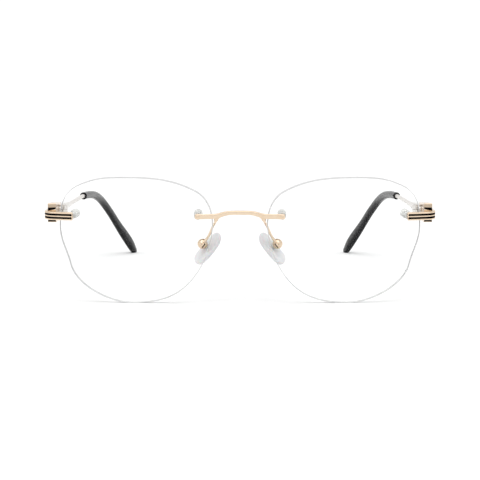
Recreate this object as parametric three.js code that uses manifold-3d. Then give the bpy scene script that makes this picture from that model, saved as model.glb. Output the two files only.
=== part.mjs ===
// Rimless eyeglasses, standing open on the lower edges of the lenses and the ends of the temple tips.
// Millimetres, +Z up, the lenses face -Y, +X is the wearer's left.
import * as THREE from 'three';
import { mergeVertices } from 'three/addons/utils/BufferGeometryUtils.js';
import Module from 'manifold-3d';

const wasm = await Module();
wasm.setup();

// ---------- driving dimensions ----------
const DEG = Math.PI / 180;
const CLEAR = 0.04;                    // assembly clearance between pieces that touch
const PANTOSCOPIC = 7 * DEG;           // the lens tops lean forward by this much
const WRAP = 4 * DEG;                  // each lens is turned outward by this much
const LENS_CENTRE_X = 36.55;           // half the distance between the lens centres
const LENS_THICKNESS = 2.0;
const LENS_CURVE_RADIUS = 131;         // base curve of both lens faces
const LENS_BLANK_RADIUS = 36;
const FRONT_Y = -4.88;                 // the front frame's origin, at the height of the lens centres
const FRONT_Z = 22.5;
const MODEL_SHIFT_Y = -65.58;          // brings the middle of the whole depth to Y = 0
// Lens outline, clockwise from the top: a point, the way the edge runs there, the reach of its handles.
const LENS_NODES = [
  { at: [1.15, 22.5], heading: 0, before: 8.5, after: 9.7 },
  { at: [20.85, 19.1], heading: -26, before: 6.8, after: 7.1 },
  { at: [27.4, 5.2], heading: -87.5, before: 4.7, after: 5.9 },
  { at: [23.95, -9.3], heading: -102, before: 5.7, after: 8.1 },
  { at: [0.2, -23.05], heading: -184, before: 9.9, after: 9.0 },
  { at: [-18.4, -15.5], heading: -227, before: 6.7, after: 7.6 },
  { at: [-26.75, 7.25], heading: -272.5, before: 8.1, after: 5.1 },
  { at: [-21.1, 17.6], heading: -330.5, before: 3.3, after: 7.9 },
];
const HOLES = {                        // drilled holes in the lens plane, and the turn of their axes
  nasal: { u: -21.7, v: 9.2, turn: -WRAP },
  temporal: { u: 22.9, v: 8.6, turn: 10 * DEG },
};
const HOLE_RADIUS = 1.0;
const POST_RADIUS = 0.55;
const METAL_GAP = 0.45;                // front metalwork stands this far off the lens
const METAL_DEPTH = 1.3;               // depth of the bridge and of the endpiece bar
const NUT_RADIUS = 1.6;
const NUT_LENGTH = 2.4;
const BAR_HEIGHT = 2.9;
const BAR_CENTRE_V = 8.6;
const STRIPE_HEIGHT = 0.62;
const STRIPE_DEPTH = 0.3;
const STRIPE_RISE = 0.575;             // each stripe's centre above or below the bar's middle
const BLOCK = { x0: 65.1, x1: 68.0, y0: 1.1, y1: 13.45, z0: 28.7, z1: 35.5, fall: 0.7 };
const HINGE = { x: 63.7, y: 13.5, z0: 29.3, z1: 33.55, radius: 1.25, bore: 0.66 };
const KNUCKLE_GAP = 0.1;
const HINGE_MIDDLE = 1.5;              // height of the temple's own knuckle
const LEAF_THICKNESS = 0.75;
const PAD_CENTRE = new THREE.Vector3(11.5, 7.6, 18.6);
const PAD = { length: 13.5, width: 8.2, thickness: 2.1 };
const PAD_LEAN = new THREE.Vector3(-8.25, -1.0, 9.8).normalize();
const PAD_SPLAY = 27 * DEG;
const PAD_BOX_RADIUS = 1.85;
const PAD_BOX_LENGTH = 2.7;
const PAD_BOX_OFFSET = 0.25;           // the box sits this far above the middle of the pad
const ARM_RADIUS = 0.46;
const ROD_RADIUS = 0.8;
const CORE_RADIUS = 0.65;
const TIP_MOUTH = [63.6, 72, 31.75];

// ---------- materials ----------
const GOLD = { color: 0xe8cf9c, roughness: 0.18, metalness: 1 };
const STEEL = { color: 0xdedbd4, roughness: 0.2, metalness: 1 };
const ENAMEL = { color: 0x0b0a0a, roughness: 0.15, metalness: 0 };
const CLEAR_PLASTIC = {
  color: 0xe6e8e6, roughness: 0.25, metalness: 0, transparent: true, opacity: 0.7,
};
const LENS = { color: 0xf4f8f7, roughness: 0.03, metalness: 0, transparent: true, opacity: 0.25 };
const SILICONE = { color: 0xdfe1e2, roughness: 0.35, metalness: 0, transparent: true, opacity: 0.8 };
const TIP = { color: 0x232326, roughness: 0.32, metalness: 0 };

// ---------- geometry helpers ----------
function weld(geometry) {
  const bare = geometry.index ? geometry.toNonIndexed() : geometry.clone();
  bare.deleteAttribute('normal');
  bare.deleteAttribute('uv');
  return mergeVertices(bare, 1e-4);
}

function solid(geometry) {
  const merged = weld(geometry);
  return new wasm.Manifold(new wasm.Mesh({
    numProp: 3,
    vertProperties: new Float32Array(merged.attributes.position.array),
    triVerts: new Uint32Array(merged.index.array),
  }));
}

function geometryOf(manifold) {
  const mesh = manifold.getMesh();
  const geometry = new THREE.BufferGeometry();
  geometry.setAttribute('position', new THREE.BufferAttribute(new Float32Array(mesh.vertProperties), 3));
  geometry.setIndex(new THREE.BufferAttribute(new Uint32Array(mesh.triVerts), 1));
  return geometry;
}

function joined(geometries) {
  return geometryOf(geometries.map(solid).reduce((whole, next) => whole.add(next)));
}

function cut(geometry, tools) {
  return geometryOf(tools.map(solid).reduce((rest, tool) => rest.subtract(tool), solid(geometry)));
}

function mirrored(geometry) {
  const copy = weld(geometry);
  copy.scale(-1, 1, 1);
  const index = copy.index.array;
  for (let i = 0; i < index.length; i += 3) {
    [index[i + 1], index[i + 2]] = [index[i + 2], index[i + 1]];
  }
  return copy;
}

function boxBetween(low, high) {
  const box = new THREE.BoxGeometry(high[0] - low[0], high[1] - low[1], high[2] - low[2]);
  return box.translate((low[0] + high[0]) / 2, (low[1] + high[1]) / 2, (low[2] + high[2]) / 2);
}

// A solid of revolution about +Y from [radius, height] points, closed on itself or on the axis.
function turned(profile, sides = 14) {
  return new THREE.LatheGeometry(profile.map(([r, h]) => new THREE.Vector2(r, h)), sides);
}

function ring(inner, outer, from, to, sides = 14) {
  return turned([[inner, from], [outer, from], [outer, to], [inner, to], [inner, from]], sides);
}

function drum(radius, from, to, sides = 14) {
  return turned([[0, from], [radius, from], [radius, to], [0, to]], sides);
}

// A cylinder between two points.
function strut(from, to, radius, sides = 14) {
  const span = new THREE.Vector3().subVectors(to, from);
  const upright = new THREE.Vector3(0, 1, 0);
  const turn = new THREE.Quaternion().setFromUnitVectors(upright, span.clone().normalize());
  const middle = new THREE.Vector3().addVectors(from, to).multiplyScalar(0.5);
  return new THREE.CylinderGeometry(radius, radius, span.length(), sides)
    .applyMatrix4(new THREE.Matrix4().compose(middle, turn, new THREE.Vector3(1, 1, 1)));
}

// A closed skin over stations along a curve. Each station gives the centre, the two half sizes and the
// squareness of a superellipse section that lies across the path; "side" is the section's first axis.
function lofted(stations, side, sectionPoints = 16) {
  const positions = [];
  const index = [];
  stations.forEach((station, i) => {
    const previous = stations[Math.max(i - 1, 0)].centre;
    const next = stations[Math.min(i + 1, stations.length - 1)].centre;
    const forward = new THREE.Vector3().subVectors(next, previous).normalize();
    const across = side.clone().addScaledVector(forward, -side.dot(forward)).normalize();
    const up = new THREE.Vector3().crossVectors(forward, across);
    for (let k = 0; k < sectionPoints; k += 1) {
      const angle = (k / sectionPoints) * 2 * Math.PI;
      const power = 2 / station.square;
      const c = Math.sign(Math.cos(angle)) * Math.abs(Math.cos(angle)) ** power;
      const s = Math.sign(Math.sin(angle)) * Math.abs(Math.sin(angle)) ** power;
      const point = station.centre.clone().addScaledVector(across, c * station.half[0]);
      point.addScaledVector(up, s * station.half[1]);
      positions.push(point.x, point.y, point.z);
    }
  });
  for (let i = 0; i + 1 < stations.length; i += 1) {
    for (let k = 0; k < sectionPoints; k += 1) {
      const a = i * sectionPoints + k;
      const b = i * sectionPoints + ((k + 1) % sectionPoints);
      index.push(a, b, a + sectionPoints, b, b + sectionPoints, a + sectionPoints);
    }
  }
  const caps = [[0, stations[0].centre], [stations.length - 1, stations[stations.length - 1].centre]];
  caps.forEach(([row, centre], which) => {
    const hub = positions.length / 3;
    positions.push(centre.x, centre.y, centre.z);
    for (let k = 0; k < sectionPoints; k += 1) {
      const a = row * sectionPoints + k;
      const b = row * sectionPoints + ((k + 1) % sectionPoints);
      index.push(...(which === 0 ? [b, a, hub] : [a, b, hub]));
    }
  });
  const geometry = new THREE.BufferGeometry();
  geometry.setAttribute('position', new THREE.Float32BufferAttribute(positions, 3));
  geometry.setIndex(index);
  return geometry;
}

// Stations read off a curve: sizes are given at some places along it and run evenly between them.
function stationsAlong(curve, steps, sizes) {
  return Array.from({ length: steps + 1 }, (_, i) => {
    const t = i / steps;
    const after = Math.max(1, sizes.findIndex((size) => size.t >= t));
    const [low, high] = [sizes[after - 1], sizes[after]];
    const mix = THREE.MathUtils.clamp((t - low.t) / (high.t - low.t), 0, 1);
    const blend = (a, b) => THREE.MathUtils.lerp(a, b, mix);
    return {
      centre: curve.getPointAt(t),
      half: [blend(low.half[0], high.half[0]), blend(low.half[1], high.half[1])],
      square: blend(low.square, high.square),
    };
  });
}

function route(points) {
  return new THREE.CatmullRomCurve3(points.map((p) => new THREE.Vector3(...p)), false, 'centripetal');
}

// ---------- the scene graph ----------
const eyeglasses = new THREE.Group();
eyeglasses.position.y = MODEL_SHIFT_Y;
const front = new THREE.Group();
front.position.set(0, FRONT_Y, FRONT_Z);
front.rotation.x = PANTOSCOPIC;
eyeglasses.add(front);
front.updateMatrix();

const SIDES = [{ name: 'left', sign: 1 }, { name: 'right', sign: -1 }];

function addPiece(group, name, geometry, look) {
  const mesh = new THREE.Mesh(weld(geometry), new THREE.MeshStandardMaterial(look));
  mesh.name = name;
  group.add(mesh);
  return mesh;
}

// Adds the same piece on both sides; the geometry is drawn for the wearer's left.
function addPair(name, geometry, look, groups = { left: eyeglasses, right: eyeglasses }) {
  SIDES.forEach((side) => {
    const shape = side.sign > 0 ? geometry : mirrored(geometry);
    addPiece(groups[side.name], `${side.name}_${name}`, shape, look);
  });
}

// ---------- lenses ----------
function sag(u, v) {
  return LENS_CURVE_RADIUS - Math.sqrt(LENS_CURVE_RADIUS ** 2 - u * u - v * v);
}

// The end of a handle that reaches from a node along its heading.
function handle(node, reach) {
  const turn = node.heading * DEG;
  return [node.at[0] + Math.cos(turn) * reach, node.at[1] + Math.sin(turn) * reach];
}

function lensOutline() {
  const shape = new THREE.Shape();
  shape.moveTo(...LENS_NODES[0].at);
  LENS_NODES.forEach((node, i) => {
    const next = LENS_NODES[(i + 1) % LENS_NODES.length];
    shape.bezierCurveTo(...handle(node, node.after), ...handle(next, -next.before), ...next.at);
  });
  return shape;
}

function lensBlank() {
  const rings = 5;
  const radii = Array.from({ length: rings + 1 }, (_, i) => (i / rings) * LENS_BLANK_RADIUS);
  const frontFace = radii.map((r) => [r, sag(r, 0)]);
  const backFace = radii.map((r) => [r, sag(r, 0) + LENS_THICKNESS]).reverse();
  return turned([...frontFace, ...backFace], 30);
}

// Where a hole's axis leaves the front face, and the way it runs.
function holeFrame(hole) {
  const matrix = new THREE.Matrix4().makeRotationZ(hole.turn);
  matrix.setPosition(hole.u, sag(hole.u, hole.v), hole.v);
  return matrix;
}

function lensGroupMatrix() {
  return new THREE.Matrix4().makeRotationZ(WRAP).setPosition(LENS_CENTRE_X, 0, 0);
}

function lensGeometry() {
  const reach = 12;
  const edge = new THREE.ExtrudeGeometry(
    lensOutline(), { depth: reach, bevelEnabled: false, curveSegments: 6 },
  );
  edge.rotateX(90 * DEG).translate(0, reach - 1, 0);
  const holes = Object.values(HOLES)
    .map((hole) => drum(HOLE_RADIUS, -3, 6).applyMatrix4(holeFrame(hole)));
  const ground = boxBetween([-60, -40, -10], [60, 40, 0]);
  ground.applyMatrix4(front.matrix.clone().multiply(lensGroupMatrix()).invert());
  const blank = geometryOf(solid(lensBlank()).intersect(solid(edge)));
  return cut(blank, [...holes, ground]);
}

const lensGroups = {};
const holeGroups = {};
SIDES.forEach((side) => {
  const group = new THREE.Group();
  group.position.set(side.sign * LENS_CENTRE_X, 0, 0);
  group.rotation.z = side.sign * WRAP;
  front.add(group);
  lensGroups[side.name] = group;
});
Object.entries(HOLES).forEach(([place, hole]) => {
  holeGroups[place] = {};
  SIDES.forEach((side) => {
    const group = new THREE.Group();
    group.position.set(side.sign * hole.u, sag(hole.u, hole.v), hole.v);
    group.rotation.z = side.sign * hole.turn;
    lensGroups[side.name].add(group);
    holeGroups[place][side.name] = group;
  });
});
addPair('lens', lensGeometry(), LENS, lensGroups);

// ---------- the stack in each drilled hole; +Y runs from the front of the lens to its back ----------
const FLANGE = { from: LENS_THICKNESS + 0.26, thickness: 0.3 };
const REAR_WASHER = { from: FLANGE.from + FLANGE.thickness + CLEAR, thickness: 0.25 };
const NUT_FROM = REAR_WASHER.from + REAR_WASHER.thickness + CLEAR;
const POST_END = NUT_FROM + NUT_LENGTH - 0.6;
const METAL_FACE = -METAL_GAP - METAL_DEPTH;

function bushing() {
  const outer = HOLE_RADIUS - CLEAR;
  const inner = POST_RADIUS + CLEAR;
  const flangeEnd = FLANGE.from + FLANGE.thickness;
  return turned([[inner, 0.02], [outer, 0.02], [outer, FLANGE.from], [HOLE_RADIUS + 0.35, FLANGE.from],
    [HOLE_RADIUS + 0.35, flangeEnd], [inner, flangeEnd], [inner, 0.02]]);
}

function capNut() {
  const end = NUT_FROM + NUT_LENGTH;
  const bore = POST_RADIUS + CLEAR;
  const boreEnd = POST_END + 0.1;
  return turned([
    [bore, NUT_FROM], [NUT_RADIUS, NUT_FROM], [NUT_RADIUS, end - 0.7], [NUT_RADIUS * 0.86, end - 0.25],
    [NUT_RADIUS * 0.5, end], [0, end], [0, boreEnd], [bore, boreEnd], [bore, NUT_FROM],
  ]);
}

function nasalScrew() {
  const head = METAL_FACE - CLEAR;
  return turned([
    [0, head - 0.16], [0.5, head - 0.14], [0.75, head - 0.06], [0.75, head],
    [POST_RADIUS, head], [POST_RADIUS, POST_END], [0, POST_END],
  ]);
}

Object.entries(holeGroups).forEach(([place, groups]) => {
  const frontWasher = ring(POST_RADIUS + CLEAR, 1.3, -METAL_GAP + CLEAR, -0.16);
  addPair(`${place}_front_washer`, frontWasher, CLEAR_PLASTIC, groups);
  addPair(`${place}_bushing`, bushing(), CLEAR_PLASTIC, groups);
  const washerEnd = REAR_WASHER.from + REAR_WASHER.thickness;
  const washer = ring(POST_RADIUS + CLEAR, 1.35, REAR_WASHER.from, washerEnd);
  addPair(`${place}_rear_washer`, washer, STEEL, groups);
  addPair(`${place}_cap_nut`, capNut(), CLEAR_PLASTIC, groups);
});
addPair('nasal_screw', nasalScrew(), GOLD, holeGroups.nasal);
addPair('temporal_post', drum(POST_RADIUS, -METAL_GAP - 0.6, POST_END), STEEL, holeGroups.temporal);

// ---------- bridge ----------
function frontPoint(place) {
  const hole = HOLES[place];
  const local = new THREE.Vector3(0, -METAL_GAP - METAL_DEPTH / 2, 0);
  return local.applyMatrix4(holeFrame(hole)).applyMatrix4(lensGroupMatrix());
}

function bridgeGeometry() {
  const end = frontPoint('nasal');
  const overhang = 0.95;
  const depth = METAL_DEPTH / 2;
  const half = [
    { at: [end.x + overhang, end.y, end.z], half: [depth, 0.55], square: 3 },
    { at: [end.x + overhang - 0.4, end.y, end.z], half: [depth, 0.88], square: 4 },
    { at: [end.x - 2, end.y, end.z + 0.05], half: [depth, 0.88], square: 4 },
    { at: [8.9, end.y, end.z + 0.15], half: [depth, 0.86], square: 4 },
    { at: [8.0, end.y - 0.05, end.z + 0.3], half: [depth, 0.84], square: 4 },
    { at: [4.9, end.y - 0.3, end.z + 1.25], half: [depth, 0.75], square: 4 },
    { at: [3.9, end.y - 0.35, end.z + 1.4], half: [depth, 0.72], square: 4 },
  ].map(({ at, ...section }) => ({ centre: new THREE.Vector3(...at), ...section }));
  const flipped = half.map(({ centre, ...section }) => (
    { centre: new THREE.Vector3(-centre.x, centre.y, centre.z), ...section }
  ));
  const bar = lofted([...flipped, ...half.reverse()], new THREE.Vector3(0, 1, 0));
  const gusset = new THREE.Shape([[5.8, 0.8], [9, 0], [8.9, -1.9], [8.5, -2.2], [7.6, -0.9]]
    .map(([x, z]) => new THREE.Vector2(x, end.z + z)));
  const web = new THREE.ExtrudeGeometry(gusset, { depth: METAL_DEPTH * 0.7, bevelEnabled: false });
  web.rotateX(90 * DEG).translate(0, end.y + METAL_DEPTH * 0.35, 0);
  const holes = SIDES.map((side) => {
    const tool = drum(POST_RADIUS + CLEAR, -5, 2).applyMatrix4(holeFrame(HOLES.nasal));
    tool.applyMatrix4(lensGroupMatrix());
    return side.sign > 0 ? tool : mirrored(tool);
  });
  return cut(joined([bar, web, mirrored(web)]), holes);
}
addPiece(front, 'bridge', bridgeGeometry(), GOLD);

// ---------- nose pads ----------
const padSide = new THREE.Vector3(Math.sin(PAD_SPLAY), Math.cos(PAD_SPLAY), 0);
padSide.addScaledVector(PAD_LEAN, -padSide.dot(PAD_LEAN)).normalize();
const padFace = new THREE.Vector3().crossVectors(PAD_LEAN, padSide);
const padTurn = new THREE.Matrix4().makeBasis(padSide, padFace, PAD_LEAN);
// The pad frame: +X across the pad towards its rear edge, +Y out of its nose side, +Z up the pad.
const padFrame = padTurn.clone().setPosition(PAD_CENTRE);
const BOX_STAND_OFF = PAD_BOX_RADIUS + 0.02 + PAD.thickness / 2;
const boxFrame = new THREE.Matrix4().makeTranslation(0, -BOX_STAND_OFF, PAD_BOX_OFFSET);
boxFrame.premultiply(padFrame);
const TANG_THICKNESS = 0.8;
const PAD_SCREW_RADIUS = 0.45;
const PAD_SCREW_SEAT = 0.05 - PAD_BOX_LENGTH / 2;

function padGeometry() {
  const steps = 8;
  const stations = Array.from({ length: steps + 1 }, (_, i) => {
    const share = -Math.cos((i / steps) * Math.PI);
    const reach = Math.sqrt(Math.max(0.03, 1 - Math.abs(share) ** 3.2));
    return {
      centre: new THREE.Vector3(0, 0.25 - 0.5 * share * share, share * PAD.length / 2),
      half: [PAD.width / 2 * reach * (1 - 0.1 * share), PAD.thickness / 2 * Math.max(0.35, reach)],
      square: 2.4,
    };
  });
  const body = lofted(stations, new THREE.Vector3(1, 0, 0), 18);
  const pocket = insertGeometry(CLEAR);
  return cut(body, [pocket]).applyMatrix4(padFrame);
}

// The metal insert moulded into the pad, with the drilled tang that enters the box.
function insertGeometry(grow) {
  const plate = boxBetween(
    [-1.3 - grow, -0.3 - grow, -2.6 - grow],
    [1.3 + grow, 0.3 + grow, 2.9 + grow],
  );
  const tang = boxBetween(
    [-TANG_THICKNESS / 2 - grow, -BOX_STAND_OFF, PAD_BOX_OFFSET - 0.9 - grow],
    [TANG_THICKNESS / 2 + grow, 0, PAD_BOX_OFFSET + 0.9 + grow],
  );
  const eye = drum(0.9 + grow, -TANG_THICKNESS / 2 - grow, TANG_THICKNESS / 2 + grow, 16);
  eye.rotateZ(90 * DEG).translate(0, -BOX_STAND_OFF, PAD_BOX_OFFSET);
  return joined([plate, tang, eye]);
}

function insertWithHole() {
  const bore = drum(PAD_SCREW_RADIUS + CLEAR, -2, 2, 16).rotateZ(90 * DEG);
  bore.translate(0, -BOX_STAND_OFF, PAD_BOX_OFFSET);
  return cut(insertGeometry(0), [bore]).applyMatrix4(padFrame);
}

function padBox() {
  const half = PAD_BOX_LENGTH / 2;
  const crown = PAD_BOX_RADIUS * 0.6;
  const shoulder = PAD_BOX_RADIUS * 0.92;
  const barrel = turned([
    [0, -half - 0.25], [crown, -half - 0.1], [shoulder, -half + 0.35], [PAD_BOX_RADIUS, 0],
    [shoulder, half - 0.35], [crown, half + 0.1], [0, half + 0.25],
  ], 18);
  barrel.rotateZ(-90 * DEG);
  const slotHalf = TANG_THICKNESS / 2 + 0.12;
  const slot = boxBetween([-slotHalf, -1.15, -3], [slotHalf, 3, 3]);
  const bore = drum(PAD_SCREW_RADIUS + CLEAR, -3, 3, 16).rotateZ(90 * DEG);
  const sink = drum(1.0, -4, PAD_SCREW_SEAT, 16).rotateZ(-90 * DEG);
  return cut(barrel, [slot, bore, sink]).applyMatrix4(boxFrame);
}

function padScrew() {
  const head = PAD_SCREW_SEAT - CLEAR;
  const end = PAD_BOX_LENGTH / 2 + 0.15;
  const screw = turned([
    [0, head - 0.5], [0.7, head - 0.42], [0.92, head - 0.15], [0.92, head],
    [PAD_SCREW_RADIUS, head], [PAD_SCREW_RADIUS, end], [0, end],
  ], 16);
  screw.rotateZ(-90 * DEG);
  const slot = boxBetween([head - 1, -0.14, -2], [head - 0.28, 0.14, 2]);
  return cut(screw, [slot]).applyMatrix4(boxFrame);
}

// The room that the wire leaves round the box.
function boxKeepOut() {
  const half = PAD_BOX_LENGTH / 2 + 0.3;
  const radius = PAD_BOX_RADIUS + 0.07;
  const room = turned([
    [0, -half - 0.1], [radius * 0.7, -half], [radius * 0.94, -half + 0.5], [radius, 0],
    [radius * 0.94, half - 0.5], [radius * 0.7, half], [0, half + 0.1],
  ], 18);
  return room.rotateZ(-90 * DEG).applyMatrix4(boxFrame);
}

// Bent wire from behind the bridge down to the box.
function padArm() {
  const root = frontPoint('nasal').applyMatrix4(front.matrix);
  const boxCentre = new THREE.Vector3().setFromMatrixPosition(boxFrame);
  const path = route([
    [8.3, root.y + METAL_DEPTH / 2 + CLEAR, root.z - 1.0],
    [8.5, -4.5, 29.9],
    [8.85, -2.2, 28.9],
    [9.7, 0.2, 27.3],
    [10.5, 2.4, 25.2],
    [11.6, 4.5, 22.9],
    [boxCentre.x, boxCentre.y, boxCentre.z],
  ]);
  const sizes = [
    { t: 0, half: [ARM_RADIUS * 1.5, ARM_RADIUS * 1.7], square: 2 },
    { t: 0.2, half: [ARM_RADIUS, ARM_RADIUS], square: 2 },
    { t: 1, half: [ARM_RADIUS, ARM_RADIUS], square: 2 },
  ];
  const wire = lofted(stationsAlong(path, 14, sizes), new THREE.Vector3(1, 0, 0), 10);
  const bridgeBack = boxBetween([4, -3, 6], [12, frontPoint('nasal').y + METAL_DEPTH / 2 + CLEAR, 14]);
  bridgeBack.applyMatrix4(front.matrix);
  return cut(wire, [boxKeepOut(), bridgeBack]);
}

addPair('nose_pad', padGeometry(), SILICONE);
addPair('pad_insert', insertWithHole(), STEEL);
addPair('pad_box', padBox(), GOLD);
addPair('pad_screw', padScrew(), GOLD);
addPair('pad_arm', padArm(), GOLD);

// ---------- endpieces ----------
// Plan of the bar's front face, from its inner end round the outer corner to the side block.
function barCurve() {
  const inner = frontPoint('temporal');
  const washerRoom = 0.17;             // keeps the bar clear of the tilted washer
  const face = inner.y - METAL_DEPTH / 2 - washerRoom;
  return new THREE.CatmullRomCurve3([
    new THREE.Vector3(inner.x - 0.7, face - 0.1, 0),
    new THREE.Vector3(inner.x + 3.4, face + 0.4, 0),
    new THREE.Vector3(67.0, face + 1.3, 0),
    new THREE.Vector3(68.6, face + 2.6, 0),
    new THREE.Vector3(68.95, face + 4.2, 0),
    new THREE.Vector3(68.5, face + 6.6, 0),
  ], false, 'centripetal');
}

// An upright band that follows the bar's face between two depths behind it, over a part of its length.
function band(curve, near, far, low, high, start, end, steps) {
  const row = (depth) => Array.from({ length: steps + 1 }, (_, i) => {
    const t = THREE.MathUtils.lerp(start, end, i / steps);
    const tangent = curve.getTangentAt(t);
    const point = curve.getPointAt(t);
    return new THREE.Vector2(point.x - tangent.y * depth, point.y + tangent.x * depth);
  });
  const shape = new THREE.Shape([...row(near), ...row(far).reverse()]);
  const geometry = new THREE.ExtrudeGeometry(shape, { depth: high - low, bevelEnabled: false });
  return geometry.translate(0, 0, low);
}

const stripeSpans = [-1, 1].map((way) => {
  const middle = BAR_CENTRE_V + way * STRIPE_RISE;
  return { low: middle - STRIPE_HEIGHT / 2, high: middle + STRIPE_HEIGHT / 2 };
});
const STRIPE_START = 0.03;
const STRIPE_END = 0.93;

function blockGeometry() {
  const round = 0.8;
  const topRound = 0.3;
  const shape = new THREE.Shape();
  shape.moveTo(BLOCK.y0 + round, BLOCK.z0);
  shape.lineTo(BLOCK.y1, BLOCK.z0);
  shape.lineTo(BLOCK.y1, BLOCK.z1 - BLOCK.fall);
  shape.lineTo(BLOCK.y0 + topRound, BLOCK.z1);
  shape.absarc(BLOCK.y0 + topRound, BLOCK.z1 - topRound, topRound, 90 * DEG, 180 * DEG, false);
  shape.absarc(BLOCK.y0 + round, BLOCK.z0 + round, round, 180 * DEG, 270 * DEG, false);
  const block = new THREE.ExtrudeGeometry(
    shape, { depth: BLOCK.x1 - BLOCK.x0, bevelEnabled: false, curveSegments: 4 },
  );
  // The extrusion runs along +Z with the profile's (y, z) in its X and Y: turned to run along +X.
  const turn = new THREE.Matrix4().makeBasis(
    new THREE.Vector3(0, 1, 0), new THREE.Vector3(0, 0, 1), new THREE.Vector3(1, 0, 0),
  );
  return block.applyMatrix4(turn).translate(BLOCK.x0, 0, 0);
}

const INLAYS = { upper: { z0: 33.05, z1: 34.08 }, lower: { z0: 28.98, z1: 29.62 } };
const INLAY_DEPTH = 0.5;
const INLAY_MARGIN = 0.1;              // gold left at each side of an inlay

function inlayRoom(span, grow) {
  return boxBetween(
    [BLOCK.x0 + INLAY_MARGIN - grow, BLOCK.y0 - 1, span.z0 - grow],
    [BLOCK.x1 - INLAY_MARGIN + grow, BLOCK.y0 + INLAY_DEPTH + grow, span.z1 + grow],
  );
}

function endpieceGeometry() {
  const curve = barCurve();
  const half = BAR_HEIGHT / 2;
  const bar = band(curve, 0, METAL_DEPTH, BAR_CENTRE_V - half, BAR_CENTRE_V + half, 0, 1, 22);
  const grooves = stripeSpans.map(({ low, high }) => band(
    curve, -0.5, STRIPE_DEPTH + CLEAR, low - CLEAR, high + CLEAR,
    STRIPE_START - 0.003, STRIPE_END + 0.003, 22,
  ));
  const post = drum(POST_RADIUS + CLEAR, -METAL_GAP - 0.6 - CLEAR, 4);
  post.applyMatrix4(holeFrame(HOLES.temporal)).applyMatrix4(lensGroupMatrix());
  const striped = cut(bar, [...grooves, post]).applyMatrix4(front.matrix);
  const neck = boxBetween(
    [BLOCK.x0 + 0.4, BLOCK.y0 - 0.9, 30.3],
    [BLOCK.x1 - 0.1, BLOCK.y0 + 1.5, 32.6],
  );
  const rooms = Object.values(INLAYS).map((span) => inlayRoom(span, CLEAR));
  return cut(joined([striped, blockGeometry(), neck]), rooms);
}

addPair('endpiece', endpieceGeometry(), GOLD);
stripeSpans.forEach(({ low, high }, i) => {
  const stripe = band(barCurve(), 0.02, STRIPE_DEPTH, low, high, STRIPE_START, STRIPE_END, 22);
  addPair(`${i ? 'upper' : 'lower'}_stripe`, stripe.applyMatrix4(front.matrix), ENAMEL);
});

Object.entries(INLAYS).forEach(([place, span]) => {
  const piece = solid(blockGeometry()).intersect(solid(inlayRoom(span, 0)));
  addPair(`${place}_block_inlay`, geometryOf(piece), ENAMEL);
});

// ---------- hinges: two knuckles on the endpiece, one on the temple, a screw through them ----------
function hingeBarrel(z0, z1) {
  return ring(HINGE.bore, HINGE.radius, z0, z1).rotateX(90 * DEG).translate(HINGE.x, HINGE.y, 0);
}

const HINGE_CENTRE_Z = (HINGE.z0 + HINGE.z1) / 2;
const hingeMiddle = { z0: HINGE_CENTRE_Z - HINGE_MIDDLE / 2, z1: HINGE_CENTRE_Z + HINGE_MIDDLE / 2 };
const leafFace = BLOCK.x0 - CLEAR;
const leafBack = leafFace - LEAF_THICKNESS;

function hingeBore() {
  const below = new THREE.Vector3(HINGE.x, HINGE.y, HINGE.z0 - 5);
  const above = new THREE.Vector3(HINGE.x, HINGE.y, HINGE.z1 + 5);
  return strut(below, above, HINGE.bore, 20);
}

function endpieceLeaf() {
  const spans = [[HINGE.z0, hingeMiddle.z0 - KNUCKLE_GAP], [hingeMiddle.z1 + KNUCKLE_GAP, HINGE.z1]];
  const plateEnd = HINGE.y - HINGE.radius - 0.1;
  const plate = boxBetween([leafBack, 8.6, HINGE.z0], [leafFace, plateEnd, HINGE.z1]);
  const ears = spans.map(([z0, z1]) => boxBetween([leafBack, 11, z0], [leafFace, HINGE.y - 0.1, z1]));
  const barrels = spans.map(([z0, z1]) => hingeBarrel(z0, z1));
  return cut(joined([plate, ...ears, ...barrels]), [hingeBore()]);
}

function templeLeaf() {
  const { z0, z1 } = hingeMiddle;
  const ear = boxBetween([leafBack, HINGE.y + 0.25, z0], [leafFace, 16, z1]);
  const plateFrom = HINGE.y + HINGE.radius + 0.25;
  const plate = boxBetween([leafBack, plateFrom, HINGE.z0 + 0.4], [leafFace, 18.2, HINGE.z1 - 0.1]);
  return cut(joined([ear, plate, hingeBarrel(z0, z1)]), [hingeBore()]);
}

function hingeScrew() {
  const shank = HINGE.bore - CLEAR;
  const rim = HINGE.radius * 0.9;
  const seat = HINGE.z1 + CLEAR;
  const screw = turned([
    [0, HINGE.z0], [shank, HINGE.z0], [shank, seat], [rim, seat],
    [rim, seat + 0.25], [HINGE.radius * 0.6, seat + 0.42], [0, seat + 0.45],
  ]);
  screw.rotateX(90 * DEG).translate(HINGE.x, HINGE.y, 0);
  const slot = boxBetween(
    [HINGE.x - 2, HINGE.y - 0.15, seat + 0.2], [HINGE.x + 2, HINGE.y + 0.15, seat + 2],
  );
  return cut(screw, [slot]);
}

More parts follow.
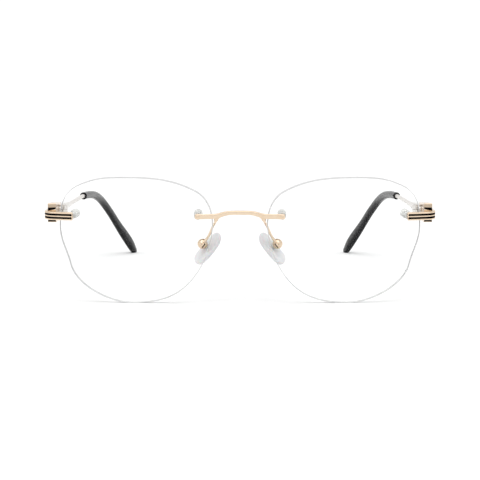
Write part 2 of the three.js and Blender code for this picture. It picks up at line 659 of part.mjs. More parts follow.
// ---------- temples ----------
const templeShape = [
  { at: [66.5, 13.75, 31.65], half: [1.35, 3.05], square: 6 },
  { at: [66.4, 16.5, 31.65], half: [1.15, 2.9], square: 5 },
  { at: [66.05, 21.5, 31.6], half: [0.85, 2.2], square: 4 },
  { at: [65.6, 28, 31.6], half: [0.8, 1.6], square: 3 },
  { at: [65.25, 35, 31.6], half: [0.8, 1.15], square: 2.5 },
  { at: [64.95, 42, 31.65], half: [0.8, 0.85], square: 2 },
  { at: [64.3, 56, 31.8], half: [ROD_RADIUS, ROD_RADIUS], square: 2 },
  { at: [63.65, TIP_MOUTH[1] - 0.6, 31.8], half: [ROD_RADIUS, ROD_RADIUS], square: 2 },
];
const tipRoute = [
  TIP_MOUTH,
  [62.5, 84, 31.2],
  [61.3, 96, 29.7],
  [59.9, 106, 26.7],
  [57.4, 115, 21.1],
  [54.05, 124.5, 13.1],
  [50.2, 133.5, 4.9],
  [48.4, 137.5, 0.6],
];

const CORE_ROOT = [63.65, TIP_MOUTH[1] - 1.2, 31.8];

function templeBar() {
  const side = new THREE.Vector3(1, 0, 0);
  const stations = templeShape.map(({ at, ...section }) => (
    { centre: new THREE.Vector3(...at), ...section }
  ));
  const bar = lofted(stations, side);
  const inTip = route([CORE_ROOT, ...tipRoute]);
  const round = { half: [CORE_RADIUS, CORE_RADIUS], square: 2 };
  const core = stationsAlong(inTip, 16, [{ t: 0, ...round }, { t: 1, ...round }]).slice(0, 15);
  return joined([bar, lofted(core, side, 10)]);
}

function tipGeometry() {
  const side = new THREE.Vector3(1, 0, 0);
  const outer = stationsAlong(route(tipRoute), 18, [
    { t: 0, half: [1.45, 1.45], square: 2 },
    { t: 0.25, half: [1.4, 1.6], square: 2.1 },
    { t: 0.55, half: [1.3, 2.05], square: 2.3 },
    { t: 0.72, half: [1.35, 2.2], square: 2.4 },
    { t: 0.86, half: [1.5, 2.75], square: 2.5 },
    { t: 0.95, half: [1.55, 2.75], square: 2.4 },
    { t: 1, half: [1.15, 1.9], square: 2.2 },
  ]);
  const inTip = route([CORE_ROOT, ...tipRoute]);
  const wide = { half: [CORE_RADIUS + CLEAR, CORE_RADIUS + CLEAR], square: 2 };
  const bore = stationsAlong(inTip, 16, [{ t: 0, ...wide }, { t: 1, ...wide }]).slice(0, 16);
  const [mouthX, mouthY, mouthZ] = TIP_MOUTH;
  const mouthDepth = 1.4;
  const mouth = strut(
    new THREE.Vector3(mouthX + 0.05, mouthY - 1, mouthZ),
    new THREE.Vector3(mouthX - 0.1, mouthY + mouthDepth, mouthZ),
    1.1,
  );
  const ground = boxBetween([30, 100, -10], [80, 160, 0]);
  return cut(lofted(outer, side), [lofted(bore, side, 10), mouth, ground]);
}

addPair('endpiece_hinge_leaf', endpieceLeaf(), STEEL);
addPair('temple_hinge_leaf', templeLeaf(), STEEL);
addPair('hinge_screw', hingeScrew(), STEEL);
addPair('temple', templeBar(), STEEL);
addPair('temple_tip', tipGeometry(), TIP);

export default eyeglasses;
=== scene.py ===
"""Rimless eyeglasses: finely modelled pieces, materials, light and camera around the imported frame.

Pieces are drawn in millimetres for the wearer's left, and mirrored for the right. They are drawn in the
drawing frame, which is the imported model's frame before its shift along Y.
"""

import math

import bmesh
import bpy
import numpy as np
from mathutils import Matrix, Vector
from mathutils.geometry import delaunay_2d_cdt


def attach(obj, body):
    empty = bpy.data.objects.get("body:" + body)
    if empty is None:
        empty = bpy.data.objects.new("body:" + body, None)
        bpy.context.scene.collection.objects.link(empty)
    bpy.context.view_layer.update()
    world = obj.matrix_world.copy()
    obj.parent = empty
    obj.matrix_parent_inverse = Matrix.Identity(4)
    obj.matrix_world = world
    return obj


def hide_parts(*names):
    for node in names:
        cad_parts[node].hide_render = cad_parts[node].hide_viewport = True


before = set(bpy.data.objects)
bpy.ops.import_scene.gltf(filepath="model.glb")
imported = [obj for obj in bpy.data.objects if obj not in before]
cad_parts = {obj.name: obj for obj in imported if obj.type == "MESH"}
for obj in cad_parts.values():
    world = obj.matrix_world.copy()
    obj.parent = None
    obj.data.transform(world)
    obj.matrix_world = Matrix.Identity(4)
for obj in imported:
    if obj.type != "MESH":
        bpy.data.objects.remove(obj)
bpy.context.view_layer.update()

# ---------- driving dimensions, millimetres and degrees ----------
MM = 0.001
MICRON = 1e-6
MODEL_SHIFT_Y = -65.58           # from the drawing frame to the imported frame
CLEAR = 0.04                     # gap between pieces that fit together
PANTOSCOPIC = 7                  # the lens tops lean forward by this much
WRAP = 4                         # each lens is turned outward by this much
LENS_CENTRE_X = 36.55
LENS_THICKNESS = 2.0
LENS_CURVE_RADIUS = 131
EDGE_CHAMFER = 0.22
FRONT_ORIGIN = (0, -4.88, 22.5)  # where the tilted front's own frame stands
LENS_NODES = [  # lens outline, clockwise from the top: point, heading, reach of its two handles
    ((1.15, 22.5), 0, 8.5, 9.7),
    ((20.85, 19.1), -26, 6.8, 7.1),
    ((27.4, 5.2), -87.5, 4.7, 5.9),
    ((23.95, -9.3), -102, 5.7, 8.1),
    ((0.2, -23.05), -184, 9.9, 9.0),
    ((-18.4, -15.5), -227, 6.7, 7.6),
    ((-26.75, 7.25), -272.5, 8.1, 5.1),
    ((-21.1, 17.6), -330.5, 3.3, 7.9),
]
HOLES = {"nasal": (-21.7, 9.2, -WRAP), "temporal": (22.9, 8.6, 10)}  # place on the lens, turn about Z
HOLE_RADIUS = 1.0
HOLE_CHAMFER = 0.1
POST_RADIUS = 0.55
METAL_GAP = 0.45                 # between the lens and the metalwork in front of it
METAL_DEPTH = 1.3                # of the bridge and of the endpiece's bar
NUT_RADIUS = 1.6
NUT_LENGTH = 2.4
FRONT_WASHER_RADIUS = 1.3
REAR_WASHER_RADIUS = 1.35
BAR_HEIGHT = 2.9
BAR_CENTRE_V = 8.6
STRIPE_RISE = 0.575              # each stripe's height above or below the bar's middle
STRIPE_HALF = 0.33
STRIPE_DEPTH = 0.3
STRIPE_START = 0.2               # along the bar
STRIPE_SHARE = 0.93              # of the bar's length, where the stripes end
GROOVE_PLAY = 0.02               # by which a groove is larger than its stripe
DOT_RADIUS = 0.39                # of the round inner end of each stripe
BLOCK = {"x": (65.1, 68.0), "y": (1.1, 13.45), "z": (28.7, 35.5), "fall": 0.7}
# The block's two black plates are painted light: the upper one is painted dark reflection of the bar, the
# lower one painted shade under the bar.
PAINTED_DARK_MARGIN = 0.06
UPPER_PAINTED_REFLECTION = {"low": 33.02, "high": 34.02, "inner_high": 34.1, "curve": 0.5}
LOWER_PAINTED_SHADE = {"low": 29.02, "high": 29.62}
HINGE = {"x": 63.7, "y": 13.5, "z": (29.3, 33.55), "radius": 1.25, "bore": 0.66}
HINGE_MIDDLE = 1.5               # height of the temple's knuckle
KNUCKLE_GAP = 0.1
LEAF_THICKNESS = 0.75
LEAF_ENDS = (8.6, 18.2)          # front end of the front leaf and rear end of the rear one
EAR_ENDS = (11, 16)              # how far the knuckles' ears reach along the leaves
PAD_CENTRE = (11.5, 7.6, 18.6)
PAD_LENGTH = 13.5
PAD_WIDTH = 8.2
PAD_THICKNESS = 2.1
PAD_LEAN = (-8.25, -1.0, 9.8)    # along the pad, from its lower end to its upper end
PAD_SPLAY = 27
PAD_BOX_RADIUS = 1.85
PAD_BOX_LENGTH = 2.7
PAD_BOX_OFFSET = 0.25
PAD_SCREW_RADIUS = 0.45
PAD_SCREW_HEAD_RADIUS = 0.92
PAD_SCREW_SEAT = 0.01 - PAD_BOX_LENGTH / 2
TANG_THICKNESS = 0.8
ARM_RADIUS = 0.46
ROD_RADIUS = 0.8
CORE_RADIUS = 0.65
TIP_MOUTH = (63.6, 72, 31.75)
TIP_MOUTH_RADIUS = 1.08
CAMERA_PLACE = (0, -533.81, 80.44)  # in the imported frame
CAMERA_PITCH = 7.0424               # below level


# ---------- mesh helpers ----------
def unit(vector):
    return np.array(vector, float) / np.linalg.norm(vector)


def moved(points, matrix):
    return np.array(points) @ np.array(matrix.to_3x3()).T + np.array(matrix.translation)


def soften(values, reach):
    """Rounds off the corners of a row of values by averaging each with its neighbours."""
    padded = np.pad(values, reach, mode="edge")
    return np.convolve(padded, np.ones(2 * reach + 1) / (2 * reach + 1), mode="valid")


def spline(points, count):
    """count + 1 rows, evenly spaced on a centripetal Catmull-Rom curve through the points."""
    rows = np.array(points, float)
    rows = np.vstack([2 * rows[0] - rows[1], rows, 2 * rows[-1] - rows[-2]])
    dense = []
    between = 24
    for p0, p1, p2, p3 in zip(rows, rows[1:], rows[2:], rows[3:]):
        t0 = 0.0
        t1 = t0 + math.sqrt(np.linalg.norm(p1 - p0))
        t2 = t1 + math.sqrt(np.linalg.norm(p2 - p1))
        t3 = t2 + math.sqrt(np.linalg.norm(p3 - p2))
        t = np.linspace(t1, t2, between, endpoint=False)[:, None]
        a1 = ((t1 - t) * p0 + (t - t0) * p1) / (t1 - t0)
        a2 = ((t2 - t) * p1 + (t - t1) * p2) / (t2 - t1)
        a3 = ((t3 - t) * p2 + (t - t2) * p3) / (t3 - t2)
        b1 = ((t2 - t) * a1 + (t - t0) * a2) / (t2 - t0)
        b2 = ((t3 - t) * a2 + (t - t1) * a3) / (t3 - t1)
        dense.append(((t2 - t) * b1 + (t - t1) * b2) / (t2 - t1))
    dense = np.vstack([*dense, rows[-2:-1]])
    steps = np.linalg.norm(np.diff(dense, axis=0), axis=1)
    length = np.concatenate([[0], np.cumsum(steps)])
    at = np.linspace(0, length[-1], count + 1)
    return np.stack([np.interp(at, length, column) for column in dense.T], 1)


def skin(rings, ends=True):
    """Faces over a stack of equal rings of points, with a flat face over each end."""
    rings = np.array(rings)
    count, sides = rings.shape[:2]
    faces = []
    for i in range(count - 1):
        for k in range(sides):
            a, b = i * sides + k, i * sides + (k + 1) % sides
            faces.append((a, b, b + sides, a + sides))
    if ends:
        faces.append(tuple(range(sides))[::-1])
        faces.append(tuple(range((count - 1) * sides, count * sides)))
    return rings.reshape(-1, 3), faces


def loft(centres, halves, squares, side, sides):
    """Rings of points: superellipse sections that stand across a path; side is their first axis.

    halves are the half sizes of each section, and squares its squareness, from 2, a plain ellipse.
    """
    centres = np.array(centres, float)
    angle = np.arange(sides) / sides * 2 * math.pi
    rings = []
    for i, centre in enumerate(centres):
        forward = unit(centres[min(i + 1, len(centres) - 1)] - centres[max(i - 1, 0)])
        across = unit(np.array(side) - np.dot(side, forward) * forward)
        up = np.cross(forward, across)
        power = 2 / squares[i]
        c = np.sign(np.cos(angle)) * np.abs(np.cos(angle)) ** power * halves[i][0]
        s = np.sign(np.sin(angle)) * np.abs(np.sin(angle)) ** power * halves[i][1]
        rings.append(centre + np.outer(c, across) + np.outer(s, up))
    return rings


def lathe(profile, sides=48, flutes=0, flute_depth=0.0, flute_from=math.inf):
    """A turned shape about +Y from (radius, height) points.

    flutes are shallow hollows down its side, where the radius is flute_from or more.
    """
    angle = np.arange(sides) / sides * 2 * math.pi
    rings = []
    for radius, height in profile:
        dip = flute_depth * (0.5 + 0.5 * np.cos(flutes * angle)) if radius >= flute_from else 0.0
        reach = radius - dip
        level = np.full(sides, float(height))
        rings.append(np.stack([reach * np.cos(angle), level, reach * np.sin(angle)], 1))
    return skin(rings, ends=False)


def prism(outline, low, high, axes):
    """An outline drawn on the first two axes, pulled along the third from low to high."""
    order = ["xyz".index(letter) for letter in axes]
    rings = []
    for level in (low, high):
        ring = np.zeros((len(outline), 3))
        ring[:, order[0]] = [p[0] for p in outline]
        ring[:, order[1]] = [p[1] for p in outline]
        ring[:, order[2]] = level
        rings.append(ring)
    return skin(rings)


def block_between(low, high):
    """A box from its lowest corner to its highest."""
    outline = [(low[0], low[1]), (high[0], low[1]), (high[0], high[1]), (low[0], high[1])]
    return prism(outline, low[2], high[2], "xyz")


def placed(shell, matrix):
    points, faces = shell
    return moved(points, matrix), faces


def mesh_object(name, shells, flip=False):
    """One mesh object from shells in drawing millimetres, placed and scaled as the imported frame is.

    What would reach below the surface that the glasses stand on is pressed flat onto it.
    """
    mesh = bpy.data.meshes.new(name)
    points = []
    faces = []
    for shell_points, shell_faces in shells:
        faces += [tuple(v + len(points) for v in face) for face in shell_faces]
        points += [tuple(p) for p in shell_points]
    points = np.array(points) + (0, MODEL_SHIFT_Y, 0)
    points[:, 2] = np.maximum(points[:, 2], 0)
    if flip:
        points[:, 0] *= -1
    mesh.from_pydata((points * MM).tolist(), [], faces)
    work = bmesh.new()
    work.from_mesh(mesh)
    bmesh.ops.remove_doubles(work, verts=work.verts, dist=2 * MICRON)
    bmesh.ops.dissolve_degenerate(work, edges=work.edges, dist=0.5 * MICRON)
    bmesh.ops.recalc_face_normals(work, faces=work.faces)
    work.to_mesh(mesh)
    work.free()
    piece = bpy.data.objects.new(name, mesh)
    bpy.context.scene.collection.objects.link(piece)
    return piece


def carve(piece, tools, flip, look, cut_look):
    """Gives a piece its look and cuts the tools' shells out of it; the cut faces get cut_look."""
    piece.data.materials.append(looks[look])
    piece.data.materials.append(looks[cut_look])
    for tool_shell in tools:
        tool = mesh_object("tool", [tool_shell], flip)
        tool.data.materials.append(looks[look])
        tool.data.materials.append(looks[cut_look])
        for face in tool.data.polygons:
            face.material_index = 1
        cutter = piece.modifiers.new("cut", "BOOLEAN")
        cutter.object = tool
        cutter.operation = "DIFFERENCE"
        cutter.solver = "EXACT"
        graph = bpy.context.evaluated_depsgraph_get()
        cut_mesh = bpy.data.meshes.new_from_object(piece.evaluated_get(graph))
        piece.modifiers.clear()
        old_mesh = piece.data
        piece.data = cut_mesh
        bpy.data.meshes.remove(old_mesh)
        bpy.data.objects.remove(tool)


def finish_piece(piece, look, body, node, bevel, sharp):
    """Gives a piece its look when it has none, rounded or sharp edges and its body, and hides the CAD node
    that it stands for.
    """
    if not piece.data.materials:
        piece.data.materials.append(looks[look])
    piece.data.shade_smooth()
    if bevel:
        rounding = piece.modifiers.new("rounded edges", "BEVEL")
        rounding.width = bevel * MM
        rounding.segments = 3
        rounding.limit_method = "ANGLE"
        rounding.angle_limit = math.radians(sharp)
        rounding.harden_normals = True
        rounding.use_clamp_overlap = True
    else:
        piece.data.set_sharp_from_angle(angle=math.radians(sharp))
    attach(piece, body)
    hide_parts(node)


def add_pair(node, shells, look, body="front", bevel=0.0, sharp=35, tools=(), cut_look=None):
    """The same piece on both sides, each standing for its CAD node.

    body is "front" or what follows the side in the body's name.
    """
    pieces = {}
    for side in ("left", "right"):
        piece = mesh_object(f"{side}_{node}_fine", shells, side == "right")
        if tools:
            carve(piece, tools, side == "right", look, cut_look or look)
        rides_on = body if body == "front" else f"{side}_{body}"
        finish_piece(piece, look, rides_on, f"{side}_{node}", bevel, sharp)
        pieces[side] = piece
    return pieces


# ---------- materials ----------
NOISE_RANGE = (0.3, 0.7)  # where most of a noise texture's values lie


class Nodes:
    """Short calls for a node tree."""

    def __init__(self, tree):
        self.tree = tree
        tree.nodes.clear()

    def add(self, kind, **settings):
        node = self.tree.nodes.new(kind)
        for key, value in settings.items():
            setattr(node, key, value)
        return node

    def link(self, source, target):
        self.tree.links.new(source, target)

    def noise(self, scale, detail=3.0, stretch=(1, 1, 1)):
        """Noise over the object's own coordinates, in lumps per metre; stretch changes it by axis."""
        place = self.add("ShaderNodeTexCoord")
        mapping = self.add("ShaderNodeMapping")
        mapping.inputs["Scale"].default_value = stretch
        texture = self.add("ShaderNodeTexNoise")
        texture.inputs["Scale"].default_value = scale
        texture.inputs["Detail"].default_value = detail
        self.link(place.outputs["Object"], mapping.inputs["Vector"])
        self.link(mapping.outputs["Vector"], texture.inputs["Vector"])
        return texture.outputs["Fac"]

    def between(self, factor, low, high):
        """Spreads a noise value over the range low to high."""
        node = self.add("ShaderNodeMapRange")
        node.inputs["From Min"].default_value = NOISE_RANGE[0]
        node.inputs["From Max"].default_value = NOISE_RANGE[1]
        node.inputs["To Min"].default_value = low
        node.inputs["To Max"].default_value = high
        self.link(factor, node.inputs["Value"])
        return node.outputs["Result"]

    def colours(self, factor, low, high):
        """Blends two colours by a noise value."""
        ramp = self.add("ShaderNodeValToRGB")
        for element, position, colour in zip(ramp.color_ramp.elements, NOISE_RANGE, (low, high)):
            element.position = position
            element.color = (*colour, 1)
        self.link(factor, ramp.inputs["Fac"])
        return ramp.outputs["Color"]

    def smooth_step(self, value, low, high):
        """0 at low, 1 at high, smooth between; low may be the larger."""
        node = self.add("ShaderNodeMapRange", interpolation_type="SMOOTHSTEP")
        node.inputs["From Min"].default_value = low
        node.inputs["From Max"].default_value = high
        self.link(value, node.inputs["Value"])
        return node.outputs["Result"]

    def combine(self, operation, first, second=0.0):
        """A calculation on two values, each a number or a socket."""
        node = self.add("ShaderNodeMath", operation=operation)
        for socket, value in zip(node.inputs, (first, second)):
            if isinstance(value, float):
                socket.default_value = value
            else:
                self.link(value, socket)
        return node.outputs["Value"]

    def mix(self, factor, first, second):
        """The first shader where the factor is 0, and the second where it is 1."""
        node = self.add("ShaderNodeMixShader")
        self.link(factor, node.inputs["Fac"])
        self.link(first, node.inputs[1])
        self.link(second, node.inputs[2])
        return node.outputs["Shader"]


def make_look(name, low, high, rough, tone_scale=600, grain_scale=9000, grain_stretch=(1, 1, 1),
              grain_depth=0.4, lets_light=None, **sockets):
    """A finish: two close tones, a range of roughness and a fine relief, all from noise.

    grain_depth is in micrometres. lets_light is the tint that lamp light keeps on its way through.
    """
    look = bpy.data.materials.new(name)
    look.use_nodes = True
    nodes = Nodes(look.node_tree)
    shader = nodes.add("ShaderNodeBsdfPrincipled")
    for key, value in sockets.items():
        shader.inputs[key.replace("_", " ")].default_value = value
    tone = nodes.noise(tone_scale)
    nodes.link(nodes.colours(tone, low, high), shader.inputs["Base Color"])
    nodes.link(nodes.between(nodes.noise(tone_scale * 3), *rough), shader.inputs["Roughness"])
    bump = nodes.add("ShaderNodeBump")
    bump.inputs["Strength"].default_value = 1.0
    bump.inputs["Distance"].default_value = grain_depth * MICRON
    nodes.link(nodes.noise(grain_scale, 4.0, grain_stretch), bump.inputs["Height"])
    nodes.link(bump.outputs["Normal"], shader.inputs["Normal"])
    output = nodes.add("ShaderNodeOutputMaterial")
    surface = shader.outputs["BSDF"]
    if lets_light:
        clear = nodes.add("ShaderNodeBsdfTransparent")
        clear.inputs["Color"].default_value = (*lets_light, 1)
        path = nodes.add("ShaderNodeLightPath")
        surface = nodes.mix(path.outputs["Is Shadow Ray"], surface, clear.outputs["BSDF"])
    nodes.link(surface, output.inputs["Surface"])
    return look


looks = {
    "lens": make_look(
        "lens", (0.985, 0.992, 0.99), (0.995, 0.998, 0.997), (0.0, 0.012), tone_scale=60,
        grain_scale=200, grain_depth=0.1, lets_light=(0.86, 0.87, 0.87),
        Transmission_Weight=1.0, IOR=1.12,
    ),
    "lens_edge": make_look(
        "lens_edge", (0.52, 0.52, 0.52), (0.6, 0.6, 0.6), (0.3, 0.45), tone_scale=900,
        grain_depth=3.0, lets_light=(0.1, 0.1, 0.1), Transmission_Weight=0.25, IOR=1.3,
    ),
    "gold": make_look(
        "gold", (0.74, 0.585, 0.43), (0.80, 0.645, 0.49), (0.05, 0.12), grain_scale=14000,
        grain_stretch=(0.15, 1, 1), grain_depth=0.25, Metallic=1.0,
    ),
    "pale_metal": make_look(
        "pale_metal", (0.71, 0.68, 0.65), (0.78, 0.75, 0.72), (0.27, 0.39), grain_scale=14000,
        grain_stretch=(1, 0.1, 1), grain_depth=0.3, Metallic=0.6,
    ),
    # Black enamel of the stripes; the same black is also painted shade and painted dark reflection on the
    # block's plates, and painted shade in the pad screw's slot.
    "enamel": make_look(
        "enamel", (0.001, 0.001, 0.001), (0.002, 0.0016, 0.0016), (0.06, 0.14), grain_depth=0.5,
        Specular_IOR_Level=0.015,
    ),
    "clear_plastic": make_look(
        "clear_plastic", (0.71, 0.71, 0.69), (0.79, 0.79, 0.77), (0.3, 0.45), tone_scale=900,
        grain_depth=1.5, lets_light=(0.6, 0.62, 0.6), Transmission_Weight=0.2, IOR=1.4,
    ),
    "pad": make_look(
        "pad", (0.69, 0.69, 0.70), (0.76, 0.76, 0.77), (0.28, 0.42), tone_scale=500,
        grain_scale=5000, grain_depth=2.0, lets_light=(0.7, 0.71, 0.72), Transmission_Weight=0.2,
        IOR=1.41, Subsurface_Weight=0.15, Subsurface_Scale=0.001,
    ),
    "tip": make_look(
        "tip", (0.004, 0.004, 0.0048), (0.007, 0.007, 0.008), (0.13, 0.2), tone_scale=400,
        grain_scale=7000, grain_depth=1.0, Specular_IOR_Level=0.13,
    ),
}


# ---------- frames: the tilted front, each lens, each drilled hole ----------
front = Matrix.Translation(FRONT_ORIGIN) @ Matrix.Rotation(math.radians(PANTOSCOPIC), 4, "X")
lens_place = Matrix.Translation((LENS_CENTRE_X, 0, 0)) @ Matrix.Rotation(math.radians(WRAP), 4, "Z")


def sag(u, v):
    """How far the lens face falls back from its pole."""
    return LENS_CURVE_RADIUS - np.sqrt(LENS_CURVE_RADIUS ** 2 - np.square(u) - np.square(v))


hole_place = {}
for place, (u, v, turn) in HOLES.items():
    drilled = Matrix.Translation((u, float(sag(u, v)), v))
    hole_place[place] = lens_place @ drilled @ Matrix.Rotation(math.radians(turn), 4, "Z")


def front_point(place):
    """The middle of the front metalwork over a hole, in the front's own frame."""
    return hole_place[place] @ Vector((0, -METAL_GAP - METAL_DEPTH / 2, 0))


# ---------- lenses ----------
def lens_outline():
    """The rim as points on the curves between the outline's nodes."""
    steps = 22
    points = []
    for i, (start, heading, _, after) in enumerate(LENS_NODES):
        end, next_heading, before, _ = LENS_NODES[(i + 1) % len(LENS_NODES)]
        turn, next_turn = math.radians(heading), math.radians(next_heading)
        p0, p3 = np.array(start), np.array(end)
        p1 = p0 + after * np.array([math.cos(turn), math.sin(turn)])
        p2 = p3 - before * np.array([math.cos(next_turn), math.sin(next_turn)])
        for t in np.arange(steps) / steps:
            s = 1 - t
            points.append(s ** 3 * p0 + 3 * s * s * t * p1 + 3 * s * t * t * p2 + t ** 3 * p3)
    return np.array(points)


def inset(points, distance):
    """A closed clockwise outline moved inwards by a small distance."""
    along = np.roll(points, -1, axis=0) - np.roll(points, 1, axis=0)
    along /= np.linalg.norm(along, axis=1)[:, None]
    return points + distance * np.stack([along[:, 1], -along[:, 0]], 1)


def circle(centre, radius, sides=40):
    angle = np.arange(sides) / sides * 2 * math.pi
    return np.array(centre) + radius * np.stack([np.cos(angle), np.sin(angle)], 1)


def inside(points, loop):
    """Which of the points lie inside a closed loop."""
    x, y = points[:, 0][:, None], points[:, 1][:, None]
    x0, y0 = loop[:, 0][None], loop[:, 1][None]
    x1, y1 = np.roll(loop[:, 0], -1)[None], np.roll(loop[:, 1], -1)[None]
    spans = (y0 > y) != (y1 > y)
    crosses = spans & (x < x0 + (y - y0) * (x1 - x0) / np.where(y1 == y0, 1, y1 - y0))
    return crosses.sum(axis=1) % 2 == 1


def lens_shell():
    """The two curved faces as one shell, and the chamfered rim and the holes' walls as three."""
    rim = lens_outline()
    face_rim = inset(rim, EDGE_CHAMFER)
    mouths = [circle((u, v), HOLE_RADIUS + HOLE_CHAMFER) for u, v, _ in HOLES.values()]
    spacing = 2.0
    half_width = 28
    half_height = 24
    columns = np.arange(-half_width, half_width, spacing)
    rows = np.arange(-half_height, half_height, spacing)
    grid = np.stack(np.meshgrid(columns, rows), -1).reshape(-1, 2)
    keep = inside(grid, inset(rim, spacing * 0.6))
    for u, v, _ in HOLES.values():
        keep &= np.hypot(grid[:, 0] - u, grid[:, 1] - v) > HOLE_RADIUS + spacing * 0.5
    loops = [face_rim, *mouths]
    flat = np.vstack([*loops, grid[keep]])
    edges = []
    start = 0
    for loop in loops:
        edges += [(start + k, start + (k + 1) % len(loop)) for k in range(len(loop))]
        start += len(loop)
    found = delaunay_2d_cdt([Vector(p) for p in flat], edges, [], 0, 1e-6)
    flat = np.array([tuple(p) for p in found[0]])
    triangles = np.array(found[2])
    centres = flat[triangles].mean(axis=1)
    wanted = inside(centres, face_rim)
    for loop in mouths:
        wanted &= ~inside(centres, loop)
    triangles = triangles[wanted]

    def layer(plan, depth):
        """Points of the lens plane on the front face, moved back by depth."""
        return np.stack([plan[:, 0], sag(plan[:, 0], plan[:, 1]) + depth, plan[:, 1]], 1)

    points = np.vstack([layer(flat, 0), layer(flat, LENS_THICKNESS)])
    faces = [tuple(t) for t in triangles] + [tuple(t + len(flat))[::-1] for t in triangles]
    rim_layers = [layer(face_rim, 0), layer(rim, EDGE_CHAMFER),
                  layer(rim, LENS_THICKNESS - EDGE_CHAMFER), layer(face_rim, LENS_THICKNESS)]
    walls = [skin(rim_layers, ends=False)]
    for (u, v, _), mouth in zip(HOLES.values(), mouths):
        bore = circle((u, v), HOLE_RADIUS)
        bore_layers = [layer(mouth, 0), layer(bore, HOLE_CHAMFER),
                       layer(bore, LENS_THICKNESS - HOLE_CHAMFER), layer(mouth, LENS_THICKNESS)]
        walls.append(skin(bore_layers, ends=False))
    return (points, faces), walls


def add_lenses():
    """Both lenses; what faces away from the lens axis is ground edge."""
    curved, walls = lens_shell()
    place = front @ lens_place
    shells = [placed(shell, place) for shell in (curved, *walls)]
    pieces = add_pair("lens", shells, "lens", sharp=30)
    faces_along_axis = 0.9
    for side, piece in pieces.items():
        piece.data.materials.append(looks["lens_edge"])
        turn = place.to_3x3()
        axis = turn @ Vector((0, 1, 0))
        if side == "right":
            axis.x *= -1
        for polygon in piece.data.polygons:
            if abs(polygon.normal.dot(axis)) < faces_along_axis:
                polygon.material_index = 1


add_lenses()

# ---------- the stack in each drilled hole; +Y runs from the front of the lens to its back ----------
FLANGE_FROM = LENS_THICKNESS + 0.26
FLANGE_THICKNESS = 0.3
WASHER_FROM = FLANGE_FROM + FLANGE_THICKNESS + CLEAR
WASHER_THICKNESS = 0.25
NUT_FROM = WASHER_FROM + WASHER_THICKNESS + CLEAR
POST_END = NUT_FROM + NUT_LENGTH - 0.6
METAL_FACE = -METAL_GAP - METAL_DEPTH


def ring_shell(bore, outer, low, high):
    """A plain ring with a bore."""
    return lathe([(bore, low), (outer, low), (outer, high), (bore, high), (bore, low)])


def washer_shell(outer, low, high):
    return ring_shell(POST_RADIUS + CLEAR, outer, low, high)


def bushing_shell():
    """A sleeve through the lens with a flange behind it."""
    bore = POST_RADIUS + CLEAR
    sleeve = HOLE_RADIUS - CLEAR
    flange = HOLE_RADIUS + 0.35
    end = FLANGE_FROM + FLANGE_THICKNESS
    start = 0.02
    return lathe([(bore, start), (sleeve, start), (sleeve, FLANGE_FROM), (flange, FLANGE_FROM),
                  (flange, end), (bore, end), (bore, start)])


def cap_nut_shell():
    """A closed plastic nut with six shallow grip hollows and a domed end."""
    bore = POST_RADIUS + CLEAR
    end = NUT_FROM + NUT_LENGTH
    dome_height = 0.7
    dome = [(NUT_RADIUS * math.cos(a), end - dome_height + dome_height * math.sin(a))
            for a in np.linspace(0, math.pi / 2, 9)]
    bore_end = POST_END + 0.1
    profile = [(bore, NUT_FROM), (NUT_RADIUS * 0.93, NUT_FROM), (NUT_RADIUS, NUT_FROM + 0.12), *dome,
               (0, bore_end), (bore, bore_end), (bore, NUT_FROM)]
    return lathe(profile, sides=60, flutes=6, flute_depth=0.09, flute_from=NUT_RADIUS * 0.9)


def nasal_screw_shell(seat):
    """A low domed head in front of its seat, and a shank with a bevelled end."""
    head_radius = 0.75
    head_height = 0.16
    bevel = 0.12
    dome = [(head_radius * math.sin(a), seat - head_height * math.cos(a))
            for a in np.linspace(0, math.pi / 2 * 0.93, 8)]
    return lathe([*dome, (head_radius, seat), (POST_RADIUS, seat), (POST_RADIUS, POST_END - bevel),
                  (POST_RADIUS - bevel, POST_END), (0, POST_END)])


for place in HOLES:
    stack = front @ hole_place[place]
    front_washer = washer_shell(FRONT_WASHER_RADIUS, -METAL_GAP + CLEAR, -4 * CLEAR)
    rear_washer = washer_shell(REAR_WASHER_RADIUS, WASHER_FROM, WASHER_FROM + WASHER_THICKNESS)
    add_pair(f"{place}_front_washer", [placed(front_washer, stack)], "clear_plastic", bevel=0.05)
    add_pair(f"{place}_bushing", [placed(bushing_shell(), stack)], "clear_plastic", bevel=0.04)
    add_pair(f"{place}_rear_washer", [placed(rear_washer, stack)], "pale_metal", bevel=0.05)
    add_pair(f"{place}_cap_nut", [placed(cap_nut_shell(), stack)], "clear_plastic", sharp=50)

nasal_stack = front @ hole_place["nasal"]
screw_seat = METAL_FACE - CLEAR
slot_reach = 1.2
slot_half = 0.09
slot_floor = screw_seat - 0.05
driver_slot = block_between((-slot_reach, screw_seat - 1, -slot_half), (slot_reach, slot_floor, slot_half))
add_pair("nasal_screw", [placed(nasal_screw_shell(screw_seat), nasal_stack)], "gold",
         tools=[placed(driver_slot, nasal_stack)], bevel=0.02)
post_root = -METAL_GAP - 0.6
post = lathe([(0, post_root), (POST_RADIUS, post_root), (POST_RADIUS, POST_END), (0, POST_END)])
add_pair("temporal_post", [placed(post, front @ hole_place["temporal"])], "pale_metal", bevel=0.08)


